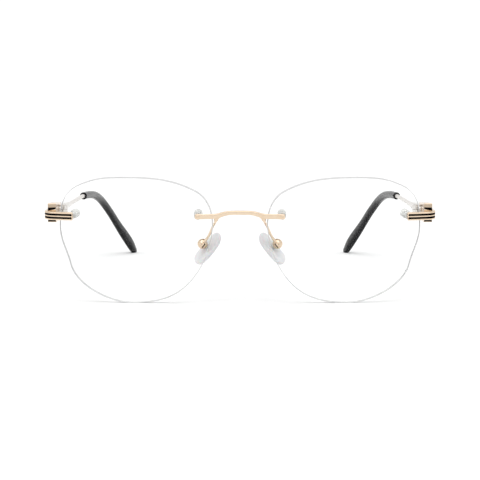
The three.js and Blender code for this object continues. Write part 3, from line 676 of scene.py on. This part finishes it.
# ---------- bridge ----------
def add_bridge():
    """The arched bar and the two webs from which the pad arms leave."""
    end = front_point("nasal")
    depth = METAL_DEPTH / 2
    stations = [  # x, y and z of the centre, half depth, half height, squareness
        (end.x + 0.95, end.y, end.z, depth * 0.94, 0.72, 3.2),
        (end.x + 0.5, end.y, end.z, depth, 0.88, 4),
        (end.x - 2, end.y, end.z + 0.05, depth, 0.88, 4),
        (8.9, end.y, end.z + 0.15, depth, 0.86, 4),
        (7.6, end.y - 0.08, end.z + 0.4, depth, 0.83, 4),
        (5.2, end.y - 0.28, end.z + 1.15, depth, 0.76, 4),
        (3.9, end.y - 0.35, end.z + 1.4, depth, 0.72, 4),
        (2.0, end.y - 0.38, end.z + 1.5, depth, 0.72, 4),
    ]
    other_half = [(-x, *rest) for x, *rest in stations]
    rows = spline([*other_half, *stations[::-1]], 140)
    bar = skin(loft(rows[:, :3], rows[:, 3:5], rows[:, 5], (0, 1, 0), 36))
    web = [(5.7, 0.95), (8.2, 0.3), (9.0, -0.1), (8.85, -1.2), (8.95, -2.0), (8.5, -2.3),
           (8.0, -1.5), (7.5, -0.8), (6.7, -0.2)]
    outline = [(x, end.z + z) for x, z in web]
    thickness = METAL_DEPTH * 0.35
    webs = [prism([(way * x, z) for x, z in outline], end.y - thickness, end.y + thickness, "xzy")
            for way in (1, -1)]
    bridge = mesh_object("bridge_fine", [placed(shell, front) for shell in (bar, *webs)])
    finish_piece(bridge, "gold", "front", "bridge", bevel=0.1, sharp=40)


add_bridge()

# ---------- nose pads ----------
pad_up = unit(PAD_LEAN)
pad_side = np.array([math.sin(math.radians(PAD_SPLAY)), math.cos(math.radians(PAD_SPLAY)), 0])
pad_side = unit(pad_side - np.dot(pad_side, pad_up) * pad_up)
pad_face = np.cross(pad_up, pad_side)
# The pad frame: +X across the pad to its rear edge, +Y out of the face on the nose, +Z up the pad.
pad_axes = np.stack([pad_side, pad_face, pad_up], 1)
pad_rows = [[*row, origin] for row, origin in zip(pad_axes, PAD_CENTRE)]
pad_place = Matrix([*pad_rows, [0, 0, 0, 1]])
BOX_STAND_OFF = PAD_BOX_RADIUS + 0.02 + PAD_THICKNESS / 2
box_place = pad_place @ Matrix.Translation((0, -BOX_STAND_OFF, PAD_BOX_OFFSET))
# Turned shapes stand along +Y: this lays them along the box frame's +X.
along_box = box_place @ Matrix.Rotation(math.radians(-90), 4, "Z")


def pad_shell():
    """A soft tablet, crowned on both faces and fuller at its lower end."""
    count = 44
    end_angle = 0.03
    squareness = 3.6
    share = -np.cos(np.linspace(end_angle, math.pi - end_angle, count))
    reach = (1 - np.abs(share) ** 4.0) ** (1 / 2.3)
    bow = 0.25 - 0.5 * share ** 2
    taper = 1 - 0.08 * share
    centres = np.stack([np.zeros(count), bow, share * PAD_LENGTH / 2], 1)
    half_widths = PAD_WIDTH / 2 * reach * taper
    half_depths = PAD_THICKNESS / 2 * np.maximum(reach, 0.2) ** 0.8
    halves = np.stack([half_widths, half_depths], 1)
    return skin(loft(centres, halves, np.full(count, squareness), (1, 0, 0), 56))


def insert_shells():
    """The plate inside the pad and the tang that reaches into the box."""
    plate = block_between((-1.3, -0.3, -2.6), (1.3, 0.3, 2.9))
    half = TANG_THICKNESS / 2
    rise = 0.9
    tang = block_between((-half, -BOX_STAND_OFF, PAD_BOX_OFFSET - rise),
                         (half, 0, PAD_BOX_OFFSET + rise))
    return [plate, tang]


def pad_box_shell():
    """A round box, fuller than a ball."""
    half = PAD_BOX_LENGTH / 2 + 0.25
    fullness = 0.7
    arc = [(PAD_BOX_RADIUS * math.cos(a) ** fullness, half * math.sin(a))
           for a in np.linspace(-math.pi / 2, math.pi / 2, 25)]
    return lathe(arc, sides=56)


def pad_screw_shell():
    """A domed head on a shank that goes through the box."""
    rim_height = 0.2
    dome_height = 0.3
    rim = PAD_SCREW_SEAT - rim_height
    dome = [(PAD_SCREW_HEAD_RADIUS * math.sin(a), rim - dome_height * math.cos(a))
            for a in np.linspace(0, math.pi / 2, 7)]
    end = PAD_BOX_LENGTH / 2 + 0.15
    return lathe([*dome, (PAD_SCREW_HEAD_RADIUS, PAD_SCREW_SEAT), (PAD_SCREW_RADIUS, PAD_SCREW_SEAT),
                  (PAD_SCREW_RADIUS, end), (0, end)])


def arm_shell():
    """Bent wire from behind the bridge down to the box, thicker at both ends."""
    steps = 60
    kept = 57  # the wire stops short of the box's middle
    root = front @ front_point("nasal")
    box_centre = box_place.translation
    path = spline([
        (8.3, root.y + METAL_DEPTH / 2 + CLEAR, root.z - 1.0),
        (8.5, -4.5, 29.9),
        (8.85, -2.2, 28.9),
        (9.7, 0.2, 27.3),
        (10.5, 2.4, 25.2),
        (11.6, 4.5, 22.9),
        tuple(box_centre),
    ], steps)
    share = np.linspace(0, 1, steps + 1)
    size = soften(np.interp(share, [0, 0.14, 0.8, 0.94], [1.7, 1.0, 1.0, 1.35]), 4) * ARM_RADIUS
    halves = np.stack([size, size], 1)
    return skin(loft(path[:kept], halves, np.full(steps + 1, 2.0), (1, 0, 0), 24))


past_box = 3
box_slot_half = TANG_THICKNESS / 2 + 0.12
box_slot_floor = -1.15
box_slot = block_between((-box_slot_half, box_slot_floor, -past_box), (box_slot_half, past_box, past_box))
room_radius = 1.0
room_start = -4
room_end = 0.05 - PAD_BOX_LENGTH / 2
head_room = lathe([(0, room_start), (room_radius, room_start), (room_radius, room_end), (0, room_end)])
pad_slot_half = 0.2
pad_slot_reach = 2
pad_driver_slot = block_between((PAD_SCREW_SEAT - 1.5, -pad_slot_half, -pad_slot_reach),
                                (PAD_SCREW_SEAT - 0.02, pad_slot_half, pad_slot_reach))
add_pair("nose_pad", [placed(pad_shell(), pad_place)], "pad", body="pad", sharp=60)
add_pair("pad_insert", [placed(shell, pad_place) for shell in insert_shells()], "pale_metal",
         body="pad", bevel=0.15)
add_pair("pad_box", [placed(pad_box_shell(), along_box)], "gold",
         tools=[placed(box_slot, box_place), placed(head_room, along_box)], bevel=0.06, sharp=45)
# The pad screw's slot gets black cut faces: painted shade in the slot.
add_pair("pad_screw", [placed(pad_screw_shell(), along_box)], "gold",
         tools=[placed(pad_driver_slot, box_place)], cut_look="enamel", bevel=0.02)
add_pair("pad_arm", [arm_shell()], "gold", sharp=60)


# ---------- endpieces ----------
def bar_path():
    """Points along the bar's front face in plan, the way straight back from each, and its distance."""
    steps = 110
    inner = front_point("temporal")
    face = inner.y - METAL_DEPTH / 2 - 0.17
    path = spline([
        (inner.x - 0.7, face - 0.1),
        (inner.x + 3.4, face + 0.4),
        (67.0, face + 1.3),
        (68.6, face + 2.6),
        (68.95, face + 4.2),
        (68.5, face + 6.6),
    ], steps)
    tangent = np.gradient(path, axis=0)
    tangent /= np.linalg.norm(tangent, axis=1)[:, None]
    back = np.stack([-tangent[:, 1], tangent[:, 0]], 1)
    length = np.concatenate([[0], np.cumsum(np.linalg.norm(np.diff(path, axis=0), axis=1))])
    return path, back, length


bar_points, bar_back, bar_length = bar_path()
STRIPE_END = bar_length[-1] * STRIPE_SHARE


def stripe_half(distance, grow=0.0):
    """Half the height of a stripe along the bar: a dot at the inner end, then a line."""
    radius = DOT_RADIUS + grow
    from_start = distance - (STRIPE_START - grow)
    from_end = STRIPE_END + grow - distance
    if from_start <= 0 or from_end <= 0:
        return 0.0
    dot = math.sqrt(max(radius ** 2 - (from_start - radius) ** 2, 0.0))
    line_radius = STRIPE_HALF + grow
    line = line_radius if from_start > radius else 0.0
    if from_end < line_radius:
        line = min(line, math.sqrt(line_radius ** 2 - (line_radius - from_end) ** 2))
    return max(dot, line)


def bar_profile(distance):
    """The bar's section as (depth, height) points: three crowned ribs, two grooves and the back."""
    half = BAR_HEIGHT / 2
    groove = stripe_half(distance, GROOVE_PLAY)
    crown = 0.07
    corner = 0.32
    end_round = 0.3
    draw_in = 0.0
    if distance < end_round:
        draw_in = end_round - math.sqrt(end_round ** 2 - (end_round - distance) ** 2)
    edges = [half, STRIPE_RISE + groove, STRIPE_RISE - groove,
             groove - STRIPE_RISE, -STRIPE_RISE - groove, -half]
    depth_of_groove = STRIPE_DEPTH + GROOVE_PLAY if groove > 0 else 0.0
    points = []
    for number in range(5):
        top, bottom = edges[number], edges[number + 1]
        for share in np.linspace(0, 1, 9):
            height = top + (bottom - top) * share
            if number % 2:
                depth = crown + depth_of_groove
            else:
                depth = crown * (2 * share - 1) ** 4
            over = min(max(abs(height) - (half - corner), 0.0), corner)
            depth += corner - math.sqrt(corner ** 2 - over ** 2)
            points.append((depth + draw_in, height * (1 - draw_in / half)))
    back_corner = 0.25
    for angle in np.linspace(0, math.pi / 2, 5):
        points.append((METAL_DEPTH - back_corner + back_corner * math.sin(angle),
                       -half + back_corner - back_corner * math.cos(angle) + draw_in))
    for angle in np.linspace(math.pi / 2, 0, 5):
        points.append((METAL_DEPTH - back_corner + back_corner * math.sin(angle),
                       half - back_corner + back_corner * math.cos(angle) - draw_in))
    return points


def along_bar(profile_at, low, high):
    """A skin swept along the bar; profile_at gives (depth, height) points for a distance.

    The sections stand closer together at both ends, where the stripes have their round ends.
    """
    spread = [*np.linspace(low, low + 1.4, 26), *np.linspace(low + 1.6, high - 0.6, 80),
              *np.linspace(high - 0.55, high, 12)]
    rings = []
    for distance in spread:
        x, y = (np.interp(distance, bar_length, bar_points[:, k]) for k in (0, 1))
        bx, by = (np.interp(distance, bar_length, bar_back[:, k]) for k in (0, 1))
        rings.append([(x + bx * depth, y + by * depth, BAR_CENTRE_V + height)
                      for depth, height in profile_at(distance)])
    return skin(rings)


def stripe_profile(centre):
    """A strip of enamel at a height on the bar, slightly domed, with a square back."""
    least_half = 0.002
    sunk = 0.06
    dome = 0.04

    def section(distance):
        half = max(stripe_half(distance), least_half)
        front_line = [(sunk + dome * (2 * share - 1) ** 2, centre + half * (1 - 2 * share))
                      for share in np.linspace(0, 1, 9)]
        return [*front_line, (STRIPE_DEPTH, centre - half), (STRIPE_DEPTH, centre + half)]

    return section


def block_shell():
    """The side block: a flat front, a full lower corner and a top that falls towards the hinge."""
    (x0, x1), (y0, y1), (z0, z1) = BLOCK["x"], BLOCK["y"], BLOCK["z"]
    low_radius = 0.9
    top_radius = 0.3
    upper = [(y0 + top_radius * (1 - math.sin(a)), z1 - top_radius * (1 - math.cos(a)))
             for a in np.linspace(0, math.pi / 2, 6)]
    lower = [(y0 + low_radius * (1 - math.cos(a)), z0 + low_radius * (1 - math.sin(a)))
             for a in np.linspace(0, math.pi / 2, 9)]
    outline = [(y1, z0), (y1, z1 - BLOCK["fall"]), *upper, *lower]
    return prism(outline, x0, x1, "yzx")


def painted_dark_plate_shell(outline):
    """A thin black plate let into the block's front face: painted dark reflection above the bar, painted
    shade below it.
    """
    proud = 0.03
    sunk = 0.5
    face = BLOCK["y"][0]
    return prism(outline, face - proud, face + sunk, "xzy")


block_inner, block_outer = BLOCK["x"]
block_face = BLOCK["y"][0]
neck_low = 30.3
neck_high = 32.6
neck = block_between((block_inner + 0.4, block_face - 0.9, neck_low),
                     (block_outer - 0.1, block_face + 1.5, neck_high))
bar = placed(along_bar(bar_profile, 0.0, bar_length[-1]), front)
add_pair("endpiece", [bar, block_shell(), neck], "gold", bevel=0.12, sharp=50)
for name, way in (("upper_stripe", 1), ("lower_stripe", -1)):
    stripe = along_bar(stripe_profile(way * STRIPE_RISE), STRIPE_START, STRIPE_END)
    add_pair(name, [placed(stripe, front)], "enamel", sharp=50)

# The upper plate is painted dark reflection of the bar on the block's face.
painted_dark_inner = block_inner + PAINTED_DARK_MARGIN
painted_dark_outer = block_outer - PAINTED_DARK_MARGIN
low_edge = [(painted_dark_inner + share * (painted_dark_outer - painted_dark_inner),
             UPPER_PAINTED_REFLECTION["low"] + UPPER_PAINTED_REFLECTION["curve"] * (1 - share) ** 2)
            for share in np.linspace(0, 1, 12)]
upper_reflection_outline = [*low_edge, (painted_dark_outer, UPPER_PAINTED_REFLECTION["high"]), (painted_dark_inner, UPPER_PAINTED_REFLECTION["inner_high"])]
# The lower plate is painted shade on the block's face below the bar.
lower_shade_outline = [(painted_dark_inner, LOWER_PAINTED_SHADE["high"]), (painted_dark_inner, LOWER_PAINTED_SHADE["low"]),
               (painted_dark_outer, LOWER_PAINTED_SHADE["low"]), (painted_dark_outer, LOWER_PAINTED_SHADE["high"])]
# Both plates are painted light in black: dark reflection above the bar, shade below it.
add_pair("upper_block_inlay", [painted_dark_plate_shell(upper_reflection_outline)], "enamel", bevel=0.04)
add_pair("lower_block_inlay", [painted_dark_plate_shell(lower_shade_outline)], "enamel", bevel=0.05)

# ---------- hinges ----------
hinge_axis = Matrix.Translation((HINGE["x"], HINGE["y"], 0))
hinge_axis = hinge_axis @ Matrix.Rotation(math.radians(90), 4, "X")
z_low, z_high = HINGE["z"]
middle_low = (z_low + z_high - HINGE_MIDDLE) / 2
middle_high = (z_low + z_high + HINGE_MIDDLE) / 2
leaf_face = block_inner - CLEAR
leaf_back = leaf_face - LEAF_THICKNESS


def knuckle(low, high):
    return placed(ring_shell(HINGE["bore"], HINGE["radius"], low, high), hinge_axis)


def leaf_plate(near, far, low, high):
    """A plate from near the hinge to its far end, which has rounded corners."""
    radius = 0.6
    way = 1 if far > near else -1
    corners = [(far - way * radius * (1 - math.sin(a)), high - radius * (1 - math.cos(a)))
               for a in np.linspace(0, math.pi / 2, 6)]
    corners += [(far - way * radius * (1 - math.cos(a)), low + radius * (1 - math.sin(a)))
                for a in np.linspace(0, math.pi / 2, 6)]
    return prism([(near, low), (near, high), *corners], leaf_back, leaf_face, "yzx")


spans = [(z_low, middle_low - KNUCKLE_GAP), (middle_high + KNUCKLE_GAP, z_high)]
front_gap = 0.1
front_ears = [block_between((leaf_back, EAR_ENDS[0], low), (leaf_face, HINGE["y"] - front_gap, high))
              for low, high in spans]
front_near = HINGE["y"] - HINGE["radius"] - front_gap
front_leaf = [leaf_plate(front_near, LEAF_ENDS[0], z_low, z_high), *front_ears,
              *(knuckle(low, high) for low, high in spans)]
add_pair("endpiece_hinge_leaf", front_leaf, "pale_metal", bevel=0.08)

rear_gap = 0.25
rear_ear = block_between((leaf_back, HINGE["y"] + rear_gap, middle_low),
                         (leaf_face, EAR_ENDS[1], middle_high))
rear_near = HINGE["y"] + HINGE["radius"] + rear_gap
rear_leaf = [leaf_plate(rear_near, LEAF_ENDS[1], z_low + 0.4, z_high - 0.1), rear_ear,
             knuckle(middle_low, middle_high)]
add_pair("temple_hinge_leaf", rear_leaf, "pale_metal", body="temple_arm", bevel=0.08)

shank = HINGE["bore"] - CLEAR
rim = HINGE["radius"] * 0.9
hinge_slot_half = 0.15
past_rim = 2
screw_face = z_high + CLEAR
hinge_screw = placed(lathe([
    (0, z_low), (shank, z_low), (shank, screw_face), (rim, screw_face), (rim, screw_face + 0.25),
    (rim * 0.8, screw_face + 0.4), (rim * 0.45, screw_face + 0.44), (0, screw_face + 0.45),
]), hinge_axis)
hinge_slot = block_between(
    (HINGE["x"] - past_rim, HINGE["y"] - hinge_slot_half, screw_face + 0.2),
    (HINGE["x"] + past_rim, HINGE["y"] + hinge_slot_half, screw_face + past_rim),
)
add_pair("hinge_screw", [hinge_screw], "pale_metal", tools=[hinge_slot], bevel=0.05)

# ---------- temples ----------
TEMPLE_STATIONS = [  # x, y and z of the centre, half width, half height, squareness
    (66.5, 13.75, 31.65, 1.35, 3.05, 6),
    (66.4, 16.5, 31.65, 1.15, 2.9, 5),
    (66.05, 21.5, 31.6, 0.85, 2.2, 4),
    (65.6, 28, 31.6, 0.8, 1.6, 3),
    (65.25, 35, 31.6, 0.8, 1.15, 2.5),
    (64.95, 42, 31.65, 0.8, 0.85, 2),
    (64.3, 56, 31.8, ROD_RADIUS, ROD_RADIUS, 2),
    (63.65, TIP_MOUTH[1] - 0.6, 31.8, ROD_RADIUS, ROD_RADIUS, 2),
]
TIP_ROUTE = [
    TIP_MOUTH,
    (62.5, 84, 31.2),
    (61.3, 96, 29.7),
    (59.9, 106, 26.7),
    (57.4, 115, 21.1),
    (54.05, 124.5, 13.1),
    (50.2, 133.5, 4.9),
    (48.4, 137.5, 0.6),
]
TIP_SIZES = [  # share of the length, half width, half height, squareness
    (0.0, 1.45, 1.45, 2.0),
    (0.25, 1.4, 1.6, 2.1),
    (0.55, 1.3, 2.05, 2.3),
    (0.72, 1.35, 2.2, 2.4),
    (0.86, 1.5, 2.75, 2.5),
    (0.95, 1.55, 2.75, 2.4),
    (1.0, 1.15, 1.9, 2.2),
]


def temple_shells():
    """The plate that tapers into a rod, and the core that runs on inside the tip."""
    rows = spline(TEMPLE_STATIONS, 130)
    rod = skin(loft(rows[:, :3], rows[:, 3:5], rows[:, 5], (1, 0, 0), 44))
    core_root = (63.65, TIP_MOUTH[1] - 1.2, 31.8)
    core_count = 70
    path = spline([core_root, *TIP_ROUTE], 80)[:core_count]
    halves = np.full((core_count, 2), CORE_RADIUS)
    core = skin(loft(path, halves, np.full(core_count, 2.0), (1, 0, 0), 20))
    return [rod, core]


def tip_shell():
    """A hollow-mouthed sleeve that thickens into a rounded paddle."""
    count = 150
    path = spline(TIP_ROUTE, count)
    table = np.array(TIP_SIZES)
    share = np.linspace(0, 1, count + 1)
    sizes = [soften(np.interp(share, table[:, 0], column), 4) for column in table.T[1:]]
    halves = np.stack(sizes[:2], 1)
    outer = loft(path, halves, sizes[2], (1, 0, 0), 48)
    mouth_count = 6
    mouth_halves = np.full((mouth_count, 2), TIP_MOUTH_RADIUS)
    hollow = loft(path[:mouth_count], mouth_halves, np.full(mouth_count, 2.0), (1, 0, 0), 48)
    lip_out = 0.16
    lip = np.array(outer[0]) * (1 - lip_out) + np.array(path[0]) * lip_out
    back = unit(path[0] - path[1]) * 0.12
    return skin([*hollow[::-1], lip + back, *outer])


add_pair("temple", temple_shells(), "pale_metal", body="temple_arm", bevel=0.25, sharp=50)
add_pair("temple_tip", [tip_shell()], "tip", body="temple_arm", sharp=55)

# ---------- floor ----------
half_floor = 1.5
floor_mesh = bpy.data.meshes.new("floor")
floor_corners = [(-half_floor, -half_floor, 0), (half_floor, -half_floor, 0),
                 (half_floor, half_floor, 0), (-half_floor, half_floor, 0)]
floor_mesh.from_pydata(floor_corners, [], [(0, 1, 2, 3)])
floor = bpy.data.objects.new("floor", floor_mesh)
bpy.context.scene.collection.objects.link(floor)
floor_look = bpy.data.materials.new("floor")
floor_look.use_nodes = True
floor_shader = floor_look.node_tree.nodes["Principled BSDF"]
floor_shader.inputs["Base Color"].default_value = (0.93, 0.93, 0.93, 1)
floor_shader.inputs["Roughness"].default_value = 0.8
floor_shader.inputs["Specular IOR Level"].default_value = 0.0
floor_mesh.materials.append(floor_look)

# ---------- light ----------
sun_data = bpy.data.lights.new("wide_soft_light", "SUN")
sun_data.energy = 1.65
sun_data.angle = math.radians(75)
sun = bpy.data.objects.new("wide_soft_light", sun_data)
sun.rotation_euler = (math.radians(24), 0, 0)
bpy.context.scene.collection.objects.link(sun)

world = bpy.data.worlds.new("studio")
bpy.context.scene.world = world
world.use_nodes = True
sky = Nodes(world.node_tree)
backdrop = sky.add("ShaderNodeBackground")
backdrop.inputs["Color"].default_value = (1, 1, 1, 1)
backdrop.inputs["Strength"].default_value = 1.1
open_light = sky.add("ShaderNodeBackground")
open_light.inputs["Color"].default_value = (1, 1, 1, 1)
mirrored_room = sky.add("ShaderNodeBackground")
mirrored_room.inputs["Strength"].default_value = 1.0
direction = sky.add("ShaderNodeTexCoord")
split = sky.add("ShaderNodeSeparateXYZ")
sky.link(direction.outputs["Generated"], split.inputs["Vector"])

# The room lights the pieces from all round, and more from its two sides.
sideways = sky.smooth_step(sky.combine("ABSOLUTE", split.outputs["X"]), 0.6, 0.9)
strength = sky.combine("ADD", 0.6, sky.combine("MULTIPLY", sideways, 0.7))
sky.link(strength, open_light.inputs["Strength"])

# What the metal mirrors: a bright room, greyer low down in front of the glasses and dark overhead.
in_front = sky.smooth_step(split.outputs["Y"], -0.6, -0.8)
low_down = sky.smooth_step(split.outputs["Z"], 0.5, 0.35)
opening = sky.combine("MULTIPLY", sky.combine("MULTIPLY", in_front, low_down), 0.3)
overhead = sky.combine("MULTIPLY", sky.smooth_step(split.outputs["Z"], 0.5, 0.95), 0.6)
shade = sky.combine("SUBTRACT", sky.combine("SUBTRACT", 1.0, opening), overhead)
sky.link(shade, mirrored_room.inputs["Color"])

ray = sky.add("ShaderNodeLightPath")
not_through = sky.combine("SUBTRACT", 1.0, ray.outputs["Is Transmission Ray"])
is_mirror = sky.combine("MULTIPLY", ray.outputs["Is Glossy Ray"], not_through)
unmirrored = sky.mix(ray.outputs["Is Diffuse Ray"], backdrop.outputs["Background"],
                     open_light.outputs["Background"])
surround = sky.mix(is_mirror, unmirrored, mirrored_room.outputs["Background"])
world_output = sky.add("ShaderNodeOutputWorld")
sky.link(surround, world_output.inputs["Surface"])

# ---------- camera ----------
camera = bpy.data.objects.new("camera", bpy.data.cameras.new("camera"))
bpy.context.scene.collection.objects.link(camera)
camera.location = Vector(CAMERA_PLACE) * MM
camera.rotation_euler = (math.radians(90 - CAMERA_PITCH), 0, 0)
camera.data.lens = 100
camera.data.sensor_width = 36
camera.data.clip_start = 0.01
bpy.context.scene.camera = camera
bpy.context.scene.view_settings.view_transform = "Standard"
